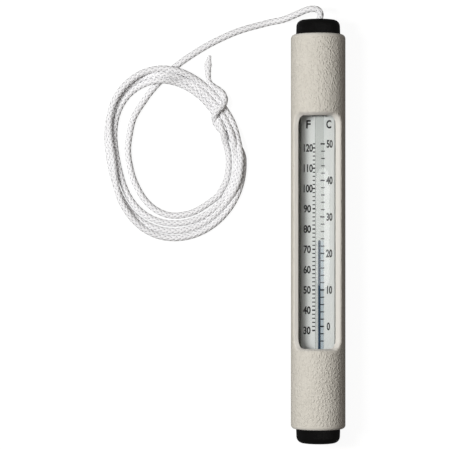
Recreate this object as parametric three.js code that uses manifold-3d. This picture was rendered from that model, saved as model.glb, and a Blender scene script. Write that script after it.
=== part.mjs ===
// Floating pool thermometer: a glass thermometer in a slotted plastic sleeve, with push-in rubber
// end caps and a braided tether cord wound into a small hank beside it.
//
// Millimetres, +Z up. The thermometer lies on its back: the origin is on the surface it lies on, under
// the middle of the sleeve, +Y runs along the sleeve to the cord end, and the window faces +Z.

import * as THREE from 'three';
import Module from 'manifold-3d';
import { mergeVertices } from 'three/addons/utils/BufferGeometryUtils.js';
import { TessellateModifier } from 'three/addons/modifiers/TessellateModifier.js';

const wasm = await Module();
wasm.setup();

// ---- Driving dimensions -------------------------------------------------------------------------

const SEGMENTS = 64;                       // sides of the large turned parts
const RING_SEGMENTS = 40;                  // sides of the rings and plugs inside them
const FINE_SEGMENTS = 20;                  // sides of the small turned parts

const TOUCH_GAP = 0.3;                     // between pieces that touch

const SLEEVE = { radius: 12.7, wall: 2.25, length: 183.5, topRound: 2.1, bottomRound: 1.6 };
const WINDOW = { length: 109.4, halfAngle: THREE.MathUtils.degToRad(62.5), corner: 3.5, endSlope: 0.45 };
const CAP = {
  radius: 10.3, faceRadius: 10.05, standOut: 6.75, shoulder: 2.2, crown: 3.2, reach: 14, wall: 2.4,
  chamfer: 0.8,
};
const GLASS = { radius: 9.0, wall: 0.9, bottom: -82, top: 64.5 };
const STOPPER = { reach: 6, flange: 1.5, gap: 0.2, chamfer: 0.5 };
const CARD = { width: 15.3, thickness: 0.4, bottom: -58, top: 58, corner: 1.2, gap: 0.3 };
const STEM = {
  radius: 1.15, bore: 0.35, top: 57, neck: -62, taper: 2.5, bulbRadius: 2.7, bulbWall: 0.6, bulbLength: 12,
};
const SPIRIT = { radius: 0.27, level: -4.1, tip: 3, gap: 0.3, skin: 0.15 };
const CLIP = { thickness: 0.35, width: 1.4, foot: 1.6, clearance: 0.3, upper: 54.2, lower: -56.6 };
const RING = { width: 4, round: 0.45, gap: 0.15, upper: 60, lower: -66 };
const CUSHION = { height: 4.2, gap: 0.3 };
const SLUG = { radius: 5.6, height: 6 };
const CORD = { diameter: 3.0, hole: 2.15, sides: 8 };
const KNOT = { radius: 3.6, height: 4.6, round: 1.6 };

// The hank is an oval, slightly egg-shaped ring: its outer edge lies radius + oval*cos(2(a - ovalTurn))
// + egg*cos(3a) from its centre, at angle a from +X.
const HANK = {
  x: -67.8, y: 36.4, radius: 37.1, oval: 4.5, ovalTurn: THREE.MathUtils.degToRad(104), egg: 1.2,
  width: 9.4, height: 5.8, corner: 2.4, sides: 44,
};
const HITCH = { angle: THREE.MathUtils.degToRad(47), length: 8, clearance: 0.7, round: 4, foot: 0.3 };

// Centreline of the cord where it isn't wound: out of the cap's hole, over to the left and down to the
// surface, then along it to the outer edge of the hank.
const LEAD_ROUTE = [
  [0.2, 95.7, 12.7],
  [0.3, 98.4, 12.7],
  [0.6, 100.2, 12.7],
  [-0.2, 102.1, 12.6],
  [-2.3, 103.5, 12.2],
  [-5.4, 103.5, 11.1],
  [-10.7, 101.6, 8.2],
  [-16.1, 99.8, 4.7],
  [-21.7, 98.5, 2.4],
  [-27.4, 97.1, 1.6],
  [-33.1, 95.6, 1.55],
  [-38.8, 93.7, 1.55],
  [-44.5, 91.2, 1.55],
  [-50.2, 88.4, 1.55],
  [-55.9, 85.1, 1.55],
  [-61.0, 81.8, 1.55],
  [-65.2, 78.8, 1.55],
];
const TAIL_ROUTE = [
  [-51.2, 71.6, 1.8],
  [-51.5, 74.4, 1.55],
  [-51.5, 77.6, 1.55],
  [-51.1, 80.4, 1.55],
  [-50.5, 83.2, 1.55],
];

// Worked out from the above.
const AXIS_HEIGHT = SLEEVE.radius;
const BORE = SLEEVE.radius - SLEEVE.wall;
const SLEEVE_END = SLEEVE.length / 2;
const GLASS_BORE = GLASS.radius - GLASS.wall;
const CARD_FACE = -STEM.radius - CARD.gap;  // below the sleeve's axis
const CROWN_UNDERSIDE = CAP.standOut - CAP.crown;
const CORD_RADIUS = CORD.diameter / 2;
const TIP_FOOT = SPIRIT.level - SPIRIT.tip;

// ---- Finishes -----------------------------------------------------------------------------------

const finish = (color, roughness, metalness = 0, opacity = 1) => new THREE.MeshStandardMaterial({
  color, roughness, metalness, opacity, transparent: opacity < 1,
});

const PUTTY_PLASTIC = finish(0xcfcbbf, 0.55);
const BLACK_RUBBER = finish(0x141414, 0.5);
const CLEAR_GLASS = finish(0xe8f0f0, 0.05, 0, 0.3);
const WHITE_CARD = finish(0xf0f0ea, 0.6);
const BLUE_SPIRIT = finish(0x2b4d86, 0.2);
const STOPPER_PLASTIC = finish(0xe6e2d4, 0.5);
const SPRING_STEEL = finish(0xb9bcc0, 0.3, 1);
const SOFT_RUBBER = finish(0xd8d4c8, 0.7);
const FOAM = finish(0xf2efe6, 0.95);
const ZINC = finish(0x8d9093, 0.5, 1);
const WHITE_CORD = finish(0xf1f1ef, 0.85);

// ---- Geometry helpers ---------------------------------------------------------------------------

// A body of revolution about Y from a path of (radius, y) points, which either starts and ends on the
// axis or is closed, and runs up its outer side. Each arc of the path gets twice arcSteps edges.
function turned(path, segments = SEGMENTS, arcSteps = 2) {
  return new THREE.LatheGeometry(path.getPoints(arcSteps), segments);
}

function solidFrom(geometry) {
  const bare = geometry.clone();
  bare.deleteAttribute('normal');
  bare.deleteAttribute('uv');
  const merged = mergeVertices(bare);
  return new wasm.Manifold(new wasm.Mesh({
    numProp: 3,
    vertProperties: new Float32Array(merged.attributes.position.array),
    triVerts: new Uint32Array(merged.index.array),
  }));
}

function geometryFrom(solid) {
  const { vertProperties, triVerts } = solid.getMesh();
  const geometry = new THREE.BufferGeometry();
  geometry.setAttribute('position', new THREE.BufferAttribute(vertProperties, 3));
  geometry.setIndex(new THREE.BufferAttribute(triVerts, 1));
  geometry.computeVertexNormals();
  return geometry;
}

function roundedRectangle(width, height, corner) {
  const x = width / 2;
  const y = height / 2;
  return new THREE.Shape()
    .moveTo(x, -y + corner)
    .lineTo(x, y - corner)
    .absarc(x - corner, y - corner, corner, 0, Math.PI / 2)
    .lineTo(-x + corner, y)
    .absarc(-x + corner, y - corner, corner, Math.PI / 2, Math.PI)
    .lineTo(-x, -y + corner)
    .absarc(-x + corner, -y + corner, corner, Math.PI, 1.5 * Math.PI)
    .lineTo(x - corner, -y)
    .absarc(x - corner, -y + corner, corner, 1.5 * Math.PI, 2 * Math.PI);
}

function alongRoute(points, radius, sides, steps) {
  const section = new THREE.Shape();
  for (let i = 0; i < sides; i += 1) {
    const angle = (2 * Math.PI * i) / sides;
    const corner = [radius * Math.cos(angle), radius * Math.sin(angle)];
    if (i === 0) {
      section.moveTo(...corner);
    } else {
      section.lineTo(...corner);
    }
  }
  const route = new THREE.CatmullRomCurve3(points.map((point) => new THREE.Vector3(...point)));
  return new THREE.ExtrudeGeometry(section, { steps, extrudePath: route });
}

// ---- Housing: sleeve and end caps ---------------------------------------------------------------

// A block the shape of the opening, bent round the sleeve's axis. Its long sides are radial, and its
// ends slope inwards.
function windowCutter() {
  const overcut = 1;
  const width = 2 * WINDOW.halfAngle * SLEEVE.radius;
  const block = new THREE.ExtrudeGeometry(roundedRectangle(width, WINDOW.length, WINDOW.corner), {
    depth: SLEEVE.wall + 2 * overcut,
    bevelEnabled: false,
    curveSegments: 8,
  });
  const longestEdge = 3.5;
  const rounds = 30;
  const bent = new TessellateModifier(longestEdge, rounds).modify(block);
  const position = bent.attributes.position;
  for (let i = 0; i < position.count; i += 1) {
    const radius = BORE - overcut + position.getZ(i);
    const angle = position.getX(i) / SLEEVE.radius;
    const depth = SLEEVE.radius - radius;
    const y = position.getY(i) * (1 - (WINDOW.endSlope * depth) / (WINDOW.length / 2));
    position.setXYZ(i, radius * Math.sin(angle), y, radius * Math.cos(angle));
  }
  return bent;
}

function sleeve() {
  const { radius, topRound, bottomRound } = SLEEVE;
  const wall = new THREE.Path()
    .moveTo(BORE, -SLEEVE_END)
    .lineTo(radius - bottomRound, -SLEEVE_END)
    .absarc(radius - bottomRound, -SLEEVE_END + bottomRound, bottomRound, -Math.PI / 2, 0)
    .lineTo(radius, SLEEVE_END - topRound)
    .absarc(radius - topRound, SLEEVE_END - topRound, topRound, 0, Math.PI / 2)
    .lineTo(BORE, SLEEVE_END)
    .lineTo(BORE, -SLEEVE_END);
  const tube = solidFrom(turned(wall));
  return geometryFrom(tube.subtract(solidFrom(windowCutter())));
}

// A cup-shaped plug, open towards the inside of the sleeve. y = 0 is the sleeve's end face, and the
// crown points to +Y. The crown has a hole where holeRadius is over 0.
function cap(holeRadius) {
  const { radius, faceRadius, standOut, shoulder, reach, wall, chamfer } = CAP;
  const cavity = radius - wall;
  const profile = new THREE.Path()
    .moveTo(holeRadius, CROWN_UNDERSIDE)
    .lineTo(cavity, CROWN_UNDERSIDE)
    .lineTo(cavity, -reach)
    .lineTo(radius - chamfer, -reach)
    .lineTo(radius, -reach + 2 * chamfer)
    .lineTo(radius, 0)
    .lineTo(faceRadius, standOut - shoulder)
    .absarc(faceRadius - shoulder, standOut - shoulder, shoulder, 0, Math.PI / 2)
    .lineTo(holeRadius, standOut);
  if (holeRadius > 0) {
    profile.lineTo(holeRadius, CROWN_UNDERSIDE);
  }
  return turned(profile);
}

function ballastSlug() {
  const { radius, height } = SLUG;
  return new THREE.CylinderGeometry(radius, radius, height, FINE_SEGMENTS);
}

// ---- Glass insert -------------------------------------------------------------------------------

// A test-tube shape: domed at the bottom, open at the top.
function glassEnvelope() {
  const { radius, bottom, top } = GLASS;
  return turned(new THREE.Path()
    .moveTo(0, bottom)
    .absarc(0, bottom + radius, radius, -Math.PI / 2, 0)
    .lineTo(radius, top)
    .lineTo(GLASS_BORE, top)
    .lineTo(GLASS_BORE, bottom + radius)
    .absarc(0, bottom + radius, GLASS_BORE, 0, -Math.PI / 2, true), SEGMENTS, 4);
}

function envelopeStopper() {
  const { reach, flange, gap, chamfer } = STOPPER;
  const plug = GLASS_BORE - gap;
  const seat = GLASS.top + gap;
  return turned(new THREE.Path()
    .moveTo(0, seat - reach)
    .lineTo(plug - chamfer, seat - reach)
    .lineTo(plug, seat - reach + 2 * chamfer)
    .lineTo(plug, seat)
    .lineTo(GLASS.radius, seat)
    .lineTo(GLASS.radius, seat + flange)
    .lineTo(0, seat + flange), RING_SEGMENTS);
}

function scaleCard() {
  const plate = new THREE.ExtrudeGeometry(
    roundedRectangle(CARD.width, CARD.top - CARD.bottom, CARD.corner),
    { depth: CARD.thickness, bevelEnabled: false, curveSegments: 4 },
  );
  return plate.translate(0, (CARD.top + CARD.bottom) / 2, CARD_FACE - CARD.thickness);
}

// A capillary tube blown out to a bulb at its lower end. The bore stays open at the top.
function stemGlass() {
  const { radius, bore, top, neck, taper, bulbRadius, bulbWall, bulbLength } = STEM;
  const shoulder = neck - taper;
  const bottom = neck - bulbLength;
  const cavity = bulbRadius - bulbWall;
  return turned(new THREE.Path()
    .moveTo(0, bottom)
    .absarc(0, bottom + bulbRadius, bulbRadius, -Math.PI / 2, 0)
    .lineTo(bulbRadius, shoulder)
    .lineTo(radius, neck)
    .lineTo(radius, top)
    .lineTo(bore, top)
    .lineTo(bore, neck)
    .lineTo(cavity, shoulder - SPIRIT.gap)
    .lineTo(cavity, bottom + bulbRadius)
    .absarc(0, bottom + bulbRadius, cavity, 0, -Math.PI / 2, true), FINE_SEGMENTS);
}

function spiritReservoir() {
  const { neck, taper, bulbRadius, bulbWall, bulbLength } = STEM;
  const radius = bulbRadius - bulbWall - SPIRIT.skin;
  const bottom = neck - bulbLength + bulbRadius;
  const top = neck - 2 * SPIRIT.gap;
  return turned(new THREE.Path()
    .moveTo(0, bottom - radius)
    .absarc(0, bottom, radius, -Math.PI / 2, 0)
    .lineTo(radius, top - taper)
    .lineTo(SPIRIT.radius, top)
    .lineTo(0, top), FINE_SEGMENTS);
}

function spiritRod(from, to) {
  const rod = new THREE.CylinderGeometry(SPIRIT.radius, SPIRIT.radius, to - from, 12);
  return rod.translate(0, (from + to) / 2, 0);
}

// A strap bent over the stem, with a foot on the card at each side.
function stemClip(y) {
  const { thickness, width, foot, clearance } = CLIP;
  const inner = STEM.radius + clearance;
  const outer = inner + thickness;
  const base = CARD_FACE + CARD.gap / 2;
  const strap = new THREE.Shape()
    .moveTo(outer + foot, base)
    .lineTo(outer + foot, base + thickness)
    .lineTo(outer, base + thickness)
    .lineTo(outer, 0)
    .absarc(0, 0, outer, 0, Math.PI)
    .lineTo(-outer, base + thickness)
    .lineTo(-outer - foot, base + thickness)
    .lineTo(-outer - foot, base)
    .lineTo(-inner, base)
    .lineTo(-inner, 0)
    .absarc(0, 0, inner, Math.PI, 0, true)
    .lineTo(inner, base);
  const band = new THREE.ExtrudeGeometry(strap, { depth: width, bevelEnabled: false, curveSegments: 10 });
  // The outline is drawn across the stem, so it is stood up to be extruded along it.
  return band.rotateX(Math.PI / 2).translate(0, y + width / 2, 0);
}

// A soft ring that fills the space between the glass and the sleeve.
function seatRing(y) {
  const { width, round, gap } = RING;
  const inner = GLASS.radius + gap;
  const outer = BORE - gap;
  const half = width / 2;
  return turned(new THREE.Path()
    .moveTo(inner, y - half)
    .lineTo(outer - round, y - half)
    .absarc(outer - round, y - half + round, round, -Math.PI / 2, 0)
    .lineTo(outer, y + half - round)
    .absarc(outer - round, y + half - round, round, 0, Math.PI / 2)
    .lineTo(inner, y + half)
    .lineTo(inner, y - half), RING_SEGMENTS);
}

// A wad in the dome of the glass, hollowed to take the bulb.
function bulbCushion() {
  const { height, gap } = CUSHION;
  const dome = GLASS.bottom + GLASS.radius;
  const reach = GLASS_BORE - gap;
  const floor = STEM.neck - STEM.bulbLength - gap;
  const dish = STEM.bulbRadius + gap;
  return turned(new THREE.Path()
    .moveTo(0, dome - reach)
    .absarc(0, dome, reach, -Math.PI / 2, 0)
    .lineTo(reach, dome + height)
    .lineTo(dish, dome + height)
    .lineTo(dish, floor + dish)
    .absarc(0, floor + dish, dish, 0, -Math.PI / 2, true), RING_SEGMENTS);
}

// ---- Tether cord --------------------------------------------------------------------------------

// The knot that keeps the cord from pulling out through the cap.
function stopKnot() {
  const { radius, height, round } = KNOT;
  return turned(new THREE.Path()
    .moveTo(0, -height / 2)
    .lineTo(radius - round, -height / 2)
    .absarc(radius - round, -height / 2 + round, round, -Math.PI / 2, 0)
    .lineTo(radius, height / 2 - round)
    .absarc(radius - round, height / 2 - round, round, 0, Math.PI / 2)
    .lineTo(0, height / 2), FINE_SEGMENTS);
}

const hankEdge = (angle) => HANK.radius + HANK.oval * Math.cos(2 * (angle - HANK.ovalTurn))
  + HANK.egg * Math.cos(3 * angle);
const hankSlope = (angle) => -2 * HANK.oval * Math.sin(2 * (angle - HANK.ovalTurn))
  - 3 * HANK.egg * Math.sin(3 * angle);

// The outer shape of all the turns together: a ring with a rounded section, pushed out to the oval.
function hank() {
  const { radius, width, height, corner, sides } = HANK;
  const loop = roundedRectangle(width, height, corner).getPoints(2);
  loop.push(loop[0].clone());
  const toSection = new THREE.Vector2(radius - width / 2, 0);
  const ring = new THREE.LatheGeometry(loop.map((point) => point.add(toSection)), sides);
  ring.rotateX(Math.PI / 2);
  const position = ring.attributes.position;
  for (let i = 0; i < position.count; i += 1) {
    const angle = Math.atan2(position.getY(i), position.getX(i));
    const stretched = Math.hypot(position.getX(i), position.getY(i)) + hankEdge(angle) - radius;
    position.setXYZ(i, stretched * Math.cos(angle), stretched * Math.sin(angle), position.getZ(i));
  }
  return ring.translate(HANK.x, HANK.y, height / 2);
}

// The cord's last turn, wrapped round the hank: an arch that stands over it, square to it.
function hitch() {
  const { angle, length, clearance, round, foot } = HITCH;
  const inside = HANK.width / 2 + clearance;
  const outside = inside + CORD.diameter;
  const ceiling = HANK.height + clearance;
  const top = ceiling + CORD.diameter;
  const arch = new THREE.Shape()
    .moveTo(outside, foot)
    .lineTo(outside, top - round)
    .absarc(outside - round, top - round, round, 0, Math.PI / 2)
    .lineTo(-outside + round, top)
    .absarc(-outside + round, top - round, round, Math.PI / 2, Math.PI)
    .lineTo(-outside, foot)
    .lineTo(-inside, foot)
    .lineTo(-inside, ceiling)
    .lineTo(inside, ceiling)
    .lineTo(inside, foot);
  const block = new THREE.ExtrudeGeometry(arch, { depth: length, bevelEnabled: false, curveSegments: 6 });
  const middle = hankEdge(angle) - HANK.width / 2;
  const square = angle - Math.atan2(hankSlope(angle), middle);
  return block
    .translate(0, 0, -length / 2)
    .rotateX(Math.PI / 2)
    .rotateZ(square)
    .translate(HANK.x + middle * Math.cos(angle), HANK.y + middle * Math.sin(angle), 0);
}

// ---- Assembly -----------------------------------------------------------------------------------

function piece(name, geometry, material) {
  const mesh = new THREE.Mesh(geometry, material);
  mesh.name = name;
  return mesh;
}

// Everything on the sleeve's axis is placed in this group.
const onAxis = new THREE.Group();
onAxis.position.z = AXIS_HEIGHT;

const topEnd = new THREE.Group();
topEnd.position.y = SLEEVE_END;
topEnd.add(piece('top_cap', cap(CORD.hole), BLACK_RUBBER));
const knot = piece('cord_stop_knot', stopKnot(), WHITE_CORD);
knot.position.y = CROWN_UNDERSIDE - KNOT.height / 2 - TOUCH_GAP;
topEnd.add(knot);

const bottomEnd = new THREE.Group();
bottomEnd.position.y = -SLEEVE_END;
bottomEnd.rotation.x = Math.PI;
bottomEnd.add(piece('bottom_cap', cap(0), BLACK_RUBBER));
const slug = piece('ballast_slug', ballastSlug(), ZINC);
slug.position.y = CROWN_UNDERSIDE - SLUG.height / 2 - TOUCH_GAP;
bottomEnd.add(slug);

onAxis.add(
  piece('sleeve', sleeve(), PUTTY_PLASTIC),
  topEnd,
  bottomEnd,
  piece('glass_envelope', glassEnvelope(), CLEAR_GLASS),
  piece('envelope_stopper', envelopeStopper(), STOPPER_PLASTIC),
  piece('scale_card', scaleCard(), WHITE_CARD),
  piece('stem_glass', stemGlass(), CLEAR_GLASS),
  piece('spirit_reservoir', spiritReservoir(), BLUE_SPIRIT),
  piece('spirit_column', spiritRod(STEM.neck - SPIRIT.gap, TIP_FOOT - SPIRIT.gap), BLUE_SPIRIT),
  piece('spirit_meniscus', spiritRod(TIP_FOOT, SPIRIT.level), BLUE_SPIRIT),
  piece('stem_clip_upper', stemClip(CLIP.upper), SPRING_STEEL),
  piece('stem_clip_lower', stemClip(CLIP.lower), SPRING_STEEL),
  piece('seat_ring_upper', seatRing(RING.upper), SOFT_RUBBER),
  piece('seat_ring_lower', seatRing(RING.lower), SOFT_RUBBER),
  piece('bulb_cushion', bulbCushion(), FOAM),
);

const thermometer = new THREE.Group();
thermometer.add(
  onAxis,
  piece('cord_lead', alongRoute(LEAD_ROUTE, CORD_RADIUS, CORD.sides, 40), WHITE_CORD),
  piece('cord_coil', hank(), WHITE_CORD),
  piece('cord_hitch', hitch(), WHITE_CORD),
  piece('cord_tail', alongRoute(TAIL_ROUTE, CORD_RADIUS, CORD.sides, 8), WHITE_CORD),
);

export default thermometer;
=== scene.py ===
from math import cos, pi, radians, sin

import bmesh
import bpy
from mathutils import Matrix, Vector


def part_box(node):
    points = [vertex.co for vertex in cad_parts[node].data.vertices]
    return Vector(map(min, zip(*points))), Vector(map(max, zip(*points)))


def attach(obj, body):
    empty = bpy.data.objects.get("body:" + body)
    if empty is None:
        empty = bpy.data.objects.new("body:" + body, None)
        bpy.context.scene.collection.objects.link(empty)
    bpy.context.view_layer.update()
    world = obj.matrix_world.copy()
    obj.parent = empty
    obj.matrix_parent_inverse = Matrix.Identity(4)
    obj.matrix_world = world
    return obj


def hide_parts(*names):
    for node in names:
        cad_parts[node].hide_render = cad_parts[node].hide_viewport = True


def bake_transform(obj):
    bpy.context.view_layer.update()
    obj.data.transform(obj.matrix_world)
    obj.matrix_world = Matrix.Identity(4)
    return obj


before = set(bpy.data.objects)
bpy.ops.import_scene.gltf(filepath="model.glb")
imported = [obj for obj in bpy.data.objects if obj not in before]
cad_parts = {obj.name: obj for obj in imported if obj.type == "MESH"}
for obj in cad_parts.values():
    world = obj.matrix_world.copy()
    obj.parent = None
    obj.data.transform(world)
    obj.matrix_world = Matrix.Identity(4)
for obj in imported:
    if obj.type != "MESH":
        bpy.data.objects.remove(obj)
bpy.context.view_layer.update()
MM = 0.001

# ---- Camera, table and lights ----
# The thermometer lies on a white table and is seen from straight above, from about a metre away.
# The frame is centred to the left of the sleeve, so that it takes in the hank of cord.

VIEW_CENTRE = (-43.4 * MM, 3.0 * MM)
VIEW_HEIGHT = 1012.7 * MM
LENS_MM = 171.7
SENSOR_MM = 36

camera = bpy.data.objects.new("camera", bpy.data.cameras.new("camera"))
camera.data.lens = LENS_MM
camera.data.sensor_width = SENSOR_MM
camera.data.clip_start = 10 * MM
camera.location = (*VIEW_CENTRE, VIEW_HEIGHT)
bpy.context.scene.collection.objects.link(camera)
bpy.context.scene.camera = camera
bpy.context.scene.view_settings.view_transform = "Standard"


def add_softbox(name, place, target, size, watts, mirrored=False):
    """A rectangular soft light at place that faces target. Only a mirrored one shows in gloss, and
    it lights nothing else."""
    light = bpy.data.lights.new(name, "AREA")
    light.shape = "RECTANGLE"
    light.size, light.size_y = size
    light.energy = watts
    box = bpy.data.objects.new(name, light)
    box.location = place
    facing = Vector(target) - Vector(place)
    box.rotation_euler = facing.to_track_quat("-Z", "Y").to_euler()
    box.visible_glossy = mirrored
    box.visible_diffuse = not mirrored
    box.visible_transmission = False
    bpy.context.scene.collection.objects.link(box)


# Where each light is, what it faces, its size (all in metres) and its watts.
add_softbox("key_light", (-0.50, 0.05, 0.70), (0, 0, 0.01), (0.15, 0.32), 6.2)
add_softbox("top_light", (-0.08, 0.45, 0.90), (-0.02, 0, 0.01), (0.6, 0.4), 1.1)
add_softbox("strip_light", (0.36, 0, 0.72), (0, 0, 0.01), (0.10, 1.4), 1.4, mirrored=True)

SKY_TINT, SKY_STRENGTH = (1.0, 0.92, 0.86, 1), 0.14
world = bpy.data.worlds.new("studio")
bpy.context.scene.world = world
world.use_nodes = True
world.node_tree.nodes["Background"].inputs["Color"].default_value = SKY_TINT
world.node_tree.nodes["Background"].inputs["Strength"].default_value = SKY_STRENGTH


def new_material(name):
    """An empty node material, its node tree and its surface socket."""
    material = bpy.data.materials.new(name)
    material.use_nodes = True
    tree = material.node_tree
    tree.nodes.clear()
    output = tree.nodes.new("ShaderNodeOutputMaterial")
    return material, tree, output.inputs["Surface"]


def put(tree, kind, **settings):
    """A shader node. A setting in lower case is the node's own; any other is an input, by name."""
    node = tree.nodes.new("ShaderNode" + kind)
    for name, value in settings.items():
        if name.islower():
            setattr(node, name, value)
            continue
        socket = node.inputs[name.replace("_", " ")]
        if isinstance(value, bpy.types.NodeSocket):
            tree.links.new(value, socket)
        elif isinstance(value, tuple) and socket.type == "RGBA":
            socket.default_value = (*value, 1)
        else:
            socket.default_value = value
    return node


SHARP = radians(40)  # faces that meet at more than this are shaded apart


def finish_piece(name, built, material, smooth=True):
    """Makes a bmesh into an object of that material, linked at the origin."""
    for edge in built.edges:
        edge.smooth = len(edge.link_faces) != 2 or edge.calc_face_angle() < SHARP
    mesh = bpy.data.meshes.new(name)
    built.to_mesh(mesh)
    built.free()
    mesh.polygons.foreach_set("use_smooth", [smooth] * len(mesh.polygons))
    mesh.materials.append(material)
    piece = bpy.data.objects.new(name, mesh)
    bpy.context.scene.collection.objects.link(piece)
    if smooth:
        piece.modifiers.new("even_shading", "WEIGHTED_NORMAL").keep_sharp = True
    return piece


TABLE_SIZE = 6.0
TABLE_BOUNCE = (0.13, 0.13, 0.13)  # what it throws back at the object
TABLE_GLOW = 0.93                  # how white the camera sees it

table_white, tree, surface = new_material("table_white")
matt = put(tree, "BsdfPrincipled", Base_Color=TABLE_BOUNCE, Roughness=0.9)
glow = put(tree, "Emission", Strength=TABLE_GLOW)
lit = put(tree, "AddShader")
tree.links.new(matt.outputs["BSDF"], lit.inputs[0])
tree.links.new(glow.outputs["Emission"], lit.inputs[1])
seen = put(tree, "MixShader", Fac=put(tree, "LightPath").outputs["Is Camera Ray"])
tree.links.new(matt.outputs["BSDF"], seen.inputs[1])
tree.links.new(lit.outputs["Shader"], seen.inputs[2])
tree.links.new(seen.outputs["Shader"], surface)

flat = bmesh.new()
bmesh.ops.create_grid(flat, x_segments=1, y_segments=1, size=TABLE_SIZE / 2)
table = finish_piece("table", flat, table_white, smooth=False)

# ---- Tether cord ----
# Three feet of 3 mm white cord, braided from eight polypropylene yarns. It leaves the top cap,
# drops to the table, runs under the hank and half round inside it, winds round it a little over
# three times, and ends in a turn round the hank and a tip that is melted flat.

CORD_DIAMETER = 3.0 * MM

# The hank's outer edge: its centre and radius, how oval it is and which way, and how egg-shaped,
# in millimetres.
HANK_X, HANK_Y = -67.8, 36.4
HANK_RADIUS, HANK_OVAL, HANK_OVAL_TURN, HANK_EGG = 37.1, 4.5, radians(104), 1.2

# The free stretch, in millimetres: out of the cap, down to the table, under the wound turns and
# half round inside them.
LEAD_ROUTE = [
    (0.3, 95.7, 12.7), (0.5, 98.4, 12.7), (1.1, 100.5, 12.7), (0.4, 102.9, 12.6),
    (-2.3, 103.8, 12.2), (-5.8, 103.2, 11.1), (-10.9, 101.2, 8.2), (-16.2, 99.4, 4.7),
    (-21.7, 98.5, 2.4), (-27.4, 97.1, 1.6), (-33.1, 95.6, 1.55), (-38.8, 93.7, 1.55),
    (-44.5, 91.2, 1.55), (-50.2, 88.4, 1.55), (-55.9, 85.1, 1.55), (-61.0, 81.8, 1.55),
    (-65.2, 78.8, 1.55), (-69.0, 75.6, 1.55), (-72.4, 72.2, 1.55), (-75.6, 69.0, 1.55),
    (-78.7, 65.4, 1.55), (-81.6, 61.4, 1.55), (-86.4, 53.5, 1.55), (-88.5, 44.6, 1.55),
    (-89.1, 37.4, 1.55), (-87.9, 29.5, 1.55), (-85.8, 22.9, 1.55), (-81.6, 15.4, 1.55),
    (-76.2, 10.3, 1.55), (-69.6, 7.6, 1.55), (-62.4, 7.9, 1.55), (-55.9, 10.2, 1.55),
]

# How the wound turns lie: at each angle (degrees from +X, counting on through the turns), how far
# the cord's middle is inside the hank's outer edge, and its height above the table, in millimetres.
LANES = [
    (316, 9.4, 1.55), (338, 8.6, 1.55), (370, 8.3, 1.55), (405, 6.7, 1.55), (450, 7.2, 1.55),
    (540, 5.0, 1.55), (630, 8.4, 1.55), (712, 4.8, 1.55), (762, 4.0, 2.3), (810, 4.4, 1.55),
    (900, 1.6, 1.55), (990, 4.8, 1.55), (1030, 4.6, 1.6), (1062, 3.0, 4.15), (1085, 2.6, 4.2),
    (1112, 1.5, 1.55), (1142, 1.5, 1.7), (1171, 1.5, 4.65), (1215, 2.4, 4.65), (1260, 3.3, 4.15),
    (1305, 2.4, 4.65), (1345, 1.5, 1.6), (1436, 1.5, 1.55), (1474, 8.7, 1.6),
]
# Where a turn is lifted because the cord passes under it: the angle, as above.
LIFTS = [385, 461, 733, 815.5]
LIFT_HEIGHT, LIFT_REACH = 3.05, 19
TURN_STEP = 6  # degrees

# The last turn, in millimetres: up inside the hank, over it, round outside it and on to the tip.
HITCH_ROUTE = [
    (-48.2, 52.4, 2.4), (-48.2, 54.8, 4.3), (-46.8, 57.0, 5.4), (-44.9, 58.6, 5.2),
    (-43.7, 60.4, 4.2), (-43.5, 62.4, 3.0), (-44.2, 64.4, 2.1), (-45.6, 66.0, 1.7),
    (-47.5, 67.3, 1.6), (-49.4, 68.6, 1.55), (-50.8, 70.6, 1.55), (-51.4, 73.6, 1.55),
    (-51.5, 76.8, 1.55), (-51.2, 80.0, 1.55), (-50.5, 83.2, 1.55),
]

# The tip: distance from its end in millimetres, and its width and thickness there as shares of
# the cord's.
TIP_SHAPE = [(0, 0.46, 0.30), (1.2, 0.62, 0.36), (4.4, 1.16, 0.52), (7.2, 1.0, 0.7),
             (12.0, 0.76, 0.8), (16.0, 1.0, 1.0)]

RING_SPACING = 0.42 * MM
RING_POINTS = 40
YARN_COLUMNS = 8                # rows of stitches round the cord
STITCH = 2.75 * MM              # length of one stitch
STITCH_TILT = 0.13              # how far a stitch leans across its row, in stitches
STITCH_RELIEF = 0.10 * MM
STITCH_SINK = 0.6               # how far the stitches lie inside the cord's radius, in reliefs


def between(stations, x):
    """The values at x, eased from each station (x, value, ...) to the next."""
    for (x0, *low), (x1, *high) in zip(stations, stations[1:]):
        if x <= x1:
            break
    share = min(1, (x - x0) / (x1 - x0))
    eased = share * share * (3 - 2 * share)
    return [a + (b - a) * eased for a, b in zip(low, high)]


def hank_edge(angle):
    """Distance of the hank's outer edge from its centre, in millimetres."""
    oval = HANK_OVAL * cos(2 * (angle - HANK_OVAL_TURN))
    return HANK_RADIUS + oval + HANK_EGG * cos(3 * angle)


def wound_turns():
    """Points along the wound turns, in millimetres."""
    points = []
    for degrees in range(LANES[0][0], LANES[-1][0] + 1, TURN_STEP):
        inset, height = between(LANES, degrees)
        for lift in LIFTS:
            near = min(1, abs(degrees - lift) / LIFT_REACH)
            height += LIFT_HEIGHT * cos(near * pi / 2) ** 2
        angle = radians(degrees)
        away = hank_edge(angle) - inset
        points.append((HANK_X + away * cos(angle), HANK_Y + away * sin(angle), height))
    return points


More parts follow.
